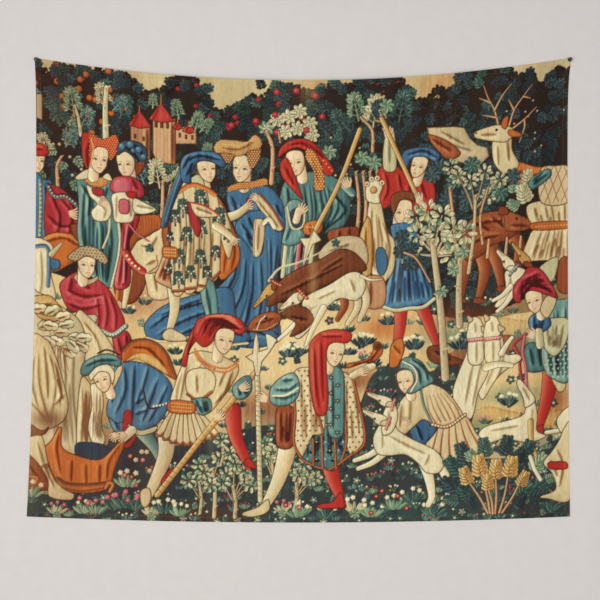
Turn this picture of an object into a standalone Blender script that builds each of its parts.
"""A printed cloth wall hanging, hung against a wall on two push pins through its top corners.

Metres, +Z up. +X is to the viewer's right and the printed face looks along -Y. The wall's
surface is the plane y = 0, and the origin lies on it half way between the two pins.

The cloth is one hemmed panel. It is modelled as two bands, because its lower part lifts off
the wall about a level bend just under the sagging top edge.
"""

import math

import bmesh
import bpy

# The cloth, as it hangs
CORNER_DROP = 1.289  # from a top corner down to the bottom corner below it
TOP_SAG = 0.066  # how far the middle of the top edge hangs below the top corners
BOTTOM_BOW = 0.017  # how far the middle of the bottom edge hangs below the bottom corners
EDGE_DRAW = {-1: 0.006, 1: 0.0125}  # how far each side edge is drawn in below its pin
EDGE_FLARE = {-1: 0.027, 1: 0.007}  # how far each side edge spreads again by the bottom
DRAW_LENGTH = 0.055  # length over which an edge is drawn in
FLARE_POWER = 2.6  # how late the spreading starts
LAYER = 0.0004  # one layer of cloth
HEM_LAYERS = 3  # layers in a double-turned hem, its face included
HEM_WIDTH = 0.015
BEND_DEPTH = 0.130  # height of the pins above the bend that the drop lifts about

# The thread of the hem seams
THREAD_WIDTH = 0.0005
THREAD_HEIGHT = 0.0003
SEAM_FROM_FOLD = 0.0015  # distance of a seam from the hem's inner fold
SEAM_END_GAP = 0.0015  # a side seam stops this short of the bend and of a cross seam

# The push pins
PIN_SPACING = 1.498
PIN_TO_SEAM = 0.0015  # a flange's rim stays this far from the hem's seams
FLANGE_RADIUS = 0.006
FLANGE_HEIGHT = 0.0017
NECK_RADIUS = 0.0030
KNOB_RADIUS = 0.0050
HEAD_HEIGHT = 0.0125
KNOB_ROUNDING = 0.0009
DOME_HEIGHT = 0.0006
NEEDLE_RADIUS = 0.00055
NEEDLE_OUT = 0.0105  # length of the needle behind the flange
NEEDLE_IN_HEAD = 0.0065  # length of the needle inside the head
NEEDLE_POINT = 0.0030  # length of the ground point

# Clearances and smoothness
GAP = 0.0003  # between pieces that touch
HOLE_CLEARANCE = 0.0004  # around a needle where it passes through the cloth
CUT_OVERSHOOT = 0.002  # how far a cutter passes the faces that it cuts
COLUMNS = 32
DROP_ROWS = 14
TURN_STEPS = 32

HEM_THICKNESS = LAYER * HEM_LAYERS
FRONT_Y = -HEM_THICKNESS  # the printed face: the hem's back face lies against the wall
PANEL_BACK_Y = FRONT_Y + LAYER
SEAM_INSET = HEM_WIDTH - SEAM_FROM_FOLD
PIN_INSET = SEAM_INSET - PIN_TO_SEAM - FLANGE_RADIUS  # of a pin, from both edges of its corner
CORNER_X = PIN_SPACING / 2 + PIN_INSET
CORNER_Z = PIN_INSET
BEND_Z = -BEND_DEPTH
FLANGE_BACK = HEM_THICKNESS + GAP  # height of the flange's underside above the wall


def clear_scene():
    for obj in list(bpy.data.objects):
        bpy.data.objects.remove(obj, do_unlink=True)


def material(name, color, roughness, metallic=0.0):
    made = bpy.data.materials.new(name)
    made.use_nodes = True
    shader = made.node_tree.nodes["Principled BSDF"]
    shader.inputs["Base Color"].default_value = (*color, 1.0)
    shader.inputs["Roughness"].default_value = roughness
    shader.inputs["Metallic"].default_value = metallic
    return made


def empty(name, location):
    made = bpy.data.objects.new(name, None)
    made.location = location
    made.empty_display_size = 0.02
    bpy.context.collection.objects.link(made)
    return made


def mesh_object(name, bm, finish, parent=None):
    """Link bm's mesh as an object. Its points are in world axes, measured from the parent."""
    bmesh.ops.recalc_face_normals(bm, faces=bm.faces)
    mesh = bpy.data.meshes.new(name)
    bm.to_mesh(mesh)
    bm.free()
    made = bpy.data.objects.new(name, mesh)
    made.parent = parent
    bpy.context.collection.objects.link(made)
    if finish:
        mesh.materials.append(finish)
    return made


# ---- the cloth's outline -------------------------------------------------------------------


def side_x(side, z):
    """Where the left (-1) or right (1) edge lies at a height."""
    down = max(CORNER_Z - z, 0.0)
    drawn = EDGE_DRAW[side] * (1.0 - math.exp(-down / DRAW_LENGTH))
    spread = EDGE_FLARE[side] * (down / CORNER_DROP) ** FLARE_POWER
    return side * (CORNER_X - drawn + spread)


def hang(share):
    """A shallow catenary's depth, from 0 at both ends (share 0 and 1) to 1 in the middle."""
    return 4.0 * share * (1.0 - share)


def top_z(share, inset=0.0):
    return CORNER_Z - TOP_SAG * hang(share) - inset


def bottom_z(share, inset=0.0):
    return CORNER_Z - CORNER_DROP - BOTTOM_BOW * hang(share) + inset


def cloth_grid(high, low, rows, inset=0.0):
    """Rows of (x, z) points between two level curves, kept inset from both side edges."""
    grid = []
    for row in range(rows + 1):
        line = []
        for column in range(COLUMNS + 1):
            share = column / COLUMNS
            z = high(share) + (low(share) - high(share)) * row / rows
            left = side_x(-1, z) + inset
            right = side_x(1, z) - inset
            line.append((left + (right - left) * share, z))
        grid.append(line)
    return grid


def slab(grid, y_front, y_back, origin=(0.0, 0.0, 0.0)):
    """A closed sheet between two planes, from a grid of (x, z) points."""
    bm = bmesh.new()
    layers = []
    for y in (y_front, y_back):
        layers.append(
            [[bm.verts.new((x - origin[0], y - origin[1], z - origin[2])) for x, z in line] for line in grid]
        )
    rows = len(grid) - 1
    columns = len(grid[0]) - 1
    for verts in layers:
        for r in range(rows):
            for c in range(columns):
                bm.faces.new((verts[r][c], verts[r][c + 1], verts[r + 1][c + 1], verts[r + 1][c]))
    rim = [(0, c) for c in range(columns)]
    rim += [(r, columns) for r in range(rows)]
    rim += [(rows, c) for c in range(columns, 0, -1)]
    rim += [(r, 0) for r in range(rows, 0, -1)]
    front, back = layers
    for (r0, c0), (r1, c1) in zip(rim, rim[1:] + rim[:1]):
        bm.faces.new((front[r0][c0], front[r1][c1], back[r1][c1], back[r0][c0]))
    return bm


def cut(target, cutter):
    cutter.hide_render = True
    cutter.display_type = "WIRE"
    boolean = target.modifiers.new(cutter.name, "BOOLEAN")
    boolean.operation = "DIFFERENCE"
    boolean.solver = "EXACT"
    boolean.object = cutter


# ---- the cloth -----------------------------------------------------------------------------


def upper_band(finish):
    """The fixed band: the top hem, the two pinned corners and the start of the side hems."""
    band_low = BEND_Z + GAP / 2
    recess_low = BEND_Z - CUT_OVERSHOOT
    band = cloth_grid(top_z, lambda share: band_low, 3)
    recess = cloth_grid(lambda share: top_z(share, HEM_WIDTH), lambda share: recess_low, 3, HEM_WIDTH)
    cloth = mesh_object("cloth_upper", slab(band, FRONT_Y, 0.0), finish)
    cut(cloth, mesh_object("upper_recess_cutter", slab(recess, PANEL_BACK_Y, CUT_OVERSHOOT), None))
    for side, word in ((-1, "left"), (1, "right")):
        bm = bmesh.new()
        bmesh.ops.create_cone(
            bm,
            cap_ends=True,
            segments=TURN_STEPS,
            radius1=NEEDLE_RADIUS + HOLE_CLEARANCE,
            radius2=NEEDLE_RADIUS + HOLE_CLEARANCE,
            depth=HEM_THICKNESS + 2 * CUT_OVERSHOOT,
        )
        cutter = mesh_object(f"{word}_pinhole_cutter", bm, None)
        cutter.rotation_euler.x = math.pi / 2
        cutter.location = (side * PIN_SPACING / 2, FRONT_Y / 2, 0.0)
        cut(cloth, cutter)
    return cloth


def drop_band(finish, axis):
    """The band below the bend, which lifts off the wall: the bottom hem and most of the sides."""
    origin = axis.location
    band_high = BEND_Z - GAP / 2
    recess_high = BEND_Z + CUT_OVERSHOOT
    band = cloth_grid(lambda share: band_high, bottom_z, DROP_ROWS)
    recess = cloth_grid(
        lambda share: recess_high, lambda share: bottom_z(share, HEM_WIDTH), DROP_ROWS, HEM_WIDTH
    )
    cloth = mesh_object("cloth_drop", slab(band, FRONT_Y, 0.0, origin), finish, axis)
    cutter = mesh_object("drop_recess_cutter", slab(recess, PANEL_BACK_Y, CUT_OVERSHOOT, origin), None, axis)
    cut(cloth, cutter)
    return cloth


# ---- the hem seams -------------------------------------------------------------------------

THREAD_BACK_Y = FRONT_Y - GAP
THREAD_FRONT_Y = THREAD_BACK_Y - THREAD_HEIGHT


def cross_seam(name, edge, finish, parent=None):
    """A seam along the top or bottom hem, from side edge to side edge."""
    origin = parent.location if parent else (0.0, 0.0, 0.0)
    half = THREAD_WIDTH / 2
    grid = cloth_grid(lambda share: edge(share) + half, lambda share: edge(share) - half, 1)
    mesh_object(name, slab(grid, THREAD_FRONT_Y, THREAD_BACK_Y, origin), finish, parent)


def side_seam(name, side, high, low, rows, finish, parent=None):
    """A seam down a side hem between two heights."""
    origin = parent.location if parent else (0.0, 0.0, 0.0)
    half = THREAD_WIDTH / 2
    grid = []
    for row in range(rows + 1):
        z = high + (low - high) * row / rows
        x = side_x(side, z) - side * SEAM_INSET
        grid.append([(x - half, z), (x + half, z)])
    mesh_object(name, slab(grid, THREAD_FRONT_Y, THREAD_BACK_Y, origin), finish, parent)


def seams(finish, axis):
    cross_seam("seam_top", lambda share: top_z(share, SEAM_INSET), finish)
    cross_seam("seam_bottom", lambda share: bottom_z(share, SEAM_INSET), finish, axis)
    inset_share = SEAM_INSET / (2 * CORNER_X)
    stop = SEAM_END_GAP + THREAD_WIDTH / 2
    high = top_z(inset_share, SEAM_INSET) - stop
    low = bottom_z(inset_share, SEAM_INSET) + stop
    for side, word in ((-1, "left"), (1, "right")):
        side_seam(f"seam_{word}_upper", side, high, BEND_Z + SEAM_END_GAP, 4, finish)
        side_seam(f"seam_{word}_drop", side, BEND_Z - SEAM_END_GAP, low, DROP_ROWS, finish, axis)


# ---- the push pins, turned about their own axis, which points from the wall to the room -----


def turned(profile):
    """A closed solid of revolution about Z, from (radius, height) points that end on the axis."""
    bm = bmesh.new()
    verts = [bm.verts.new((radius, 0.0, height)) for radius, height in profile]
    edges = [bm.edges.new(pair) for pair in zip(verts, verts[1:])]
    bmesh.ops.spin(
        bm,
        geom=verts + edges,
        axis=(0.0, 0.0, 1.0),
        cent=(0.0, 0.0, 0.0),
        angle=2 * math.pi,
        steps=TURN_STEPS,
    )
    bmesh.ops.remove_doubles(bm, verts=bm.verts, dist=0.00001)
    return bm


def arc(radius_centre, height_centre, bend, start, end, steps=4):
    """Points of a rounded rim, between two angles in degrees measured from the outward radius."""
    points = []
    for step in range(steps + 1):
        angle = math.radians(start + (end - start) * step / steps)
        points.append((radius_centre + bend * math.cos(angle), height_centre + bend * math.sin(angle)))
    return points


def head_profile():
    """A spool: a flange against the cloth, a waist for the fingers and a slightly domed knob."""
    rim = FLANGE_HEIGHT / 2
    bore_radius = NEEDLE_RADIUS + GAP
    flange_top = FLANGE_BACK + FLANGE_HEIGHT
    knob_top = FLANGE_BACK + HEAD_HEIGHT - DOME_HEIGHT
    waist_end = knob_top - 2 * KNOB_ROUNDING
    profile = [(0.0, FLANGE_BACK + NEEDLE_IN_HEAD + GAP), (bore_radius, FLANGE_BACK + NEEDLE_IN_HEAD + GAP)]
    profile.append((bore_radius, FLANGE_BACK))
    profile += arc(FLANGE_RADIUS - rim, FLANGE_BACK + rim, rim, -90, 90)
    waist_steps = 9
    for step in range(waist_steps + 1):
        share = step / waist_steps
        flare = abs(2 * share - 1) ** 2.2
        radius = NECK_RADIUS + (KNOB_RADIUS - KNOB_ROUNDING / 4 - NECK_RADIUS) * flare
        profile.append((radius, flange_top + (waist_end - flange_top) * share))
    profile += arc(KNOB_RADIUS - KNOB_ROUNDING, knob_top - KNOB_ROUNDING, KNOB_ROUNDING, 0, 90)
    profile.append(((KNOB_RADIUS - KNOB_ROUNDING) * 0.5, knob_top + DOME_HEIGHT * 0.75))
    profile.append((0.0, knob_top + DOME_HEIGHT))
    return profile


def needle_profile():
    """A round wire with a ground point, which starts inside the wall."""
    tip = FLANGE_BACK - NEEDLE_OUT
    return [
        (0.0, tip),
        (NEEDLE_RADIUS * 0.62, tip + NEEDLE_POINT * 0.5),
        (NEEDLE_RADIUS, tip + NEEDLE_POINT),
        (NEEDLE_RADIUS, FLANGE_BACK + NEEDLE_IN_HEAD),
        (0.0, FLANGE_BACK + NEEDLE_IN_HEAD),
    ]


def push_pin(side, word, plastic, steel):
    axis = empty(f"pin_{word}_axis", (side * PIN_SPACING / 2, 0.0, 0.0))
    axis.rotation_euler.x = math.pi / 2
    pieces = (("head", head_profile(), plastic), ("needle", needle_profile(), steel))
    for piece, profile, finish in pieces:
        made = mesh_object(f"pin_{piece}_{word}", turned(profile), finish, axis)
        made.data.shade_smooth()
        made.data.set_sharp_from_angle(angle=math.radians(40))


def main():
    clear_scene()
    printed = material("printed_cloth", (0.10, 0.12, 0.11), 0.85)
    thread = material("hem_thread", (0.62, 0.52, 0.34), 0.75)
    plastic = material("black_plastic", (0.018, 0.016, 0.015), 0.28)
    steel = material("needle_steel", (0.62, 0.62, 0.63), 0.25, metallic=1.0)
    drop_axis = empty("drop_bend_axis", (0.0, FRONT_Y, BEND_Z))
    upper_band(printed)
    drop_band(printed, drop_axis)
    seams(thread, drop_axis)
    for side, word in ((-1, "left"), (1, "right")):
        push_pin(side, word, plastic, steel)


main()
